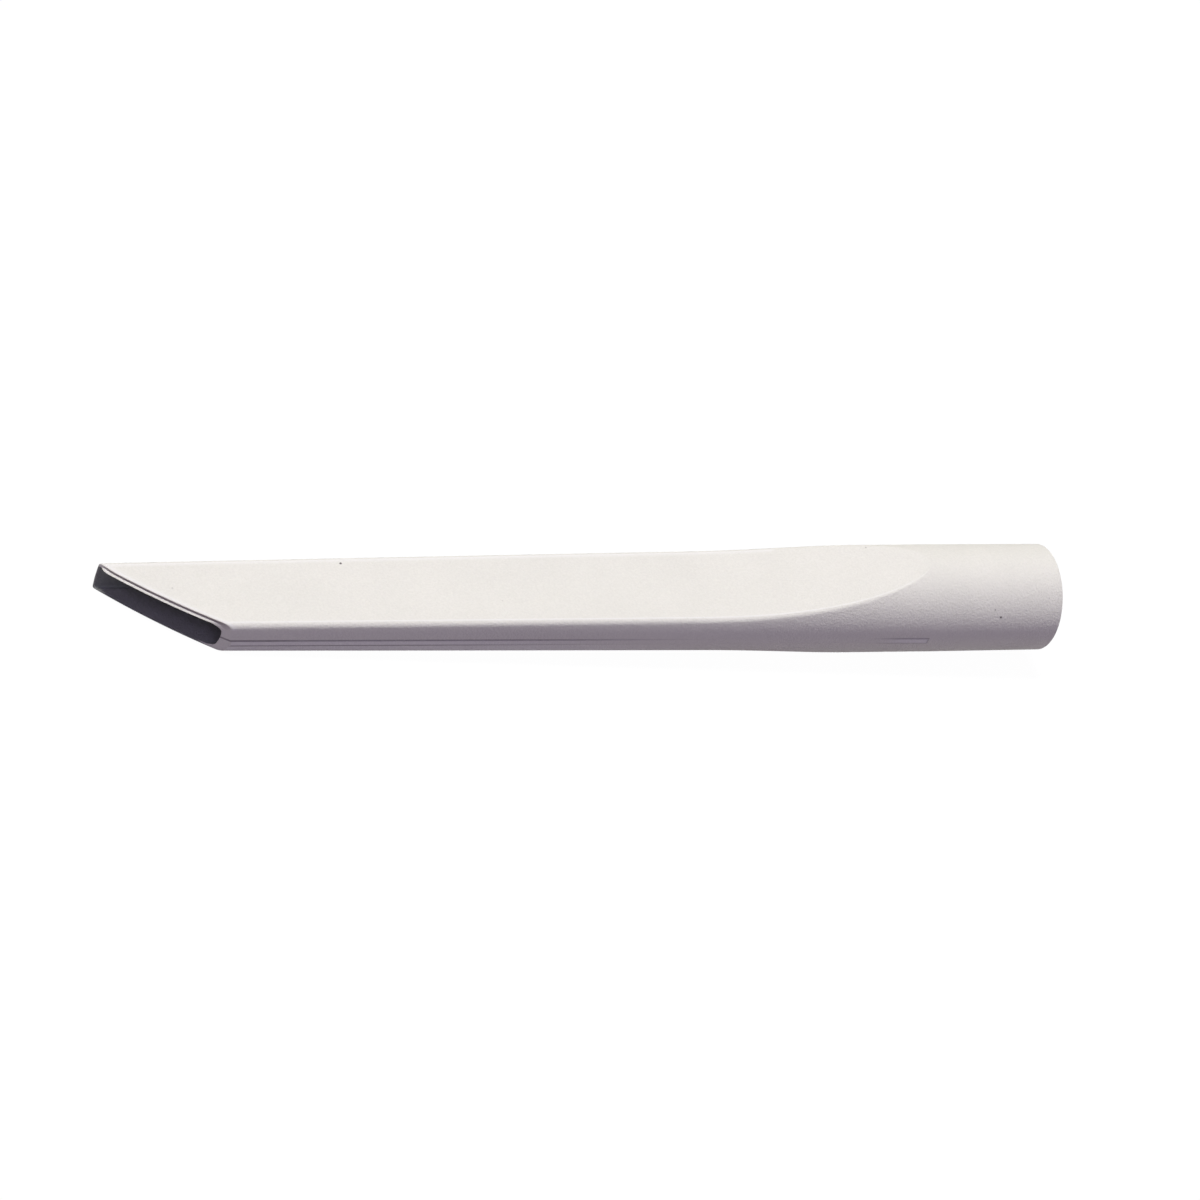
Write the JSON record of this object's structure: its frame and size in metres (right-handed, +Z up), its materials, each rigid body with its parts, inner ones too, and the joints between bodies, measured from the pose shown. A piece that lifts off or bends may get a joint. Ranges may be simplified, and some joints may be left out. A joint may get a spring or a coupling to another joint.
{
  "type": "vacuum crevice tool",
  "caption": "Long flat vacuum nozzle with a slanted slot mouth, flaring through a smooth turn into a round socket that pushes onto a wand.",
  "frame": {"origin": "under the middle of the box, on the ground that the tool lies on", "axes": "+X along the tool from the mouth to the socket, +Y to the side of the long lip, +Z up from the ground when it lies on a wide face"},
  "size_m": [0.3232, 0.0368, 0.0387],
  "materials": {
    "shell": "fine moulded grain"
  },
  "bodies": {
    "root": {"crevice_nozzle": "shell"}
  },
  "joints": []
}
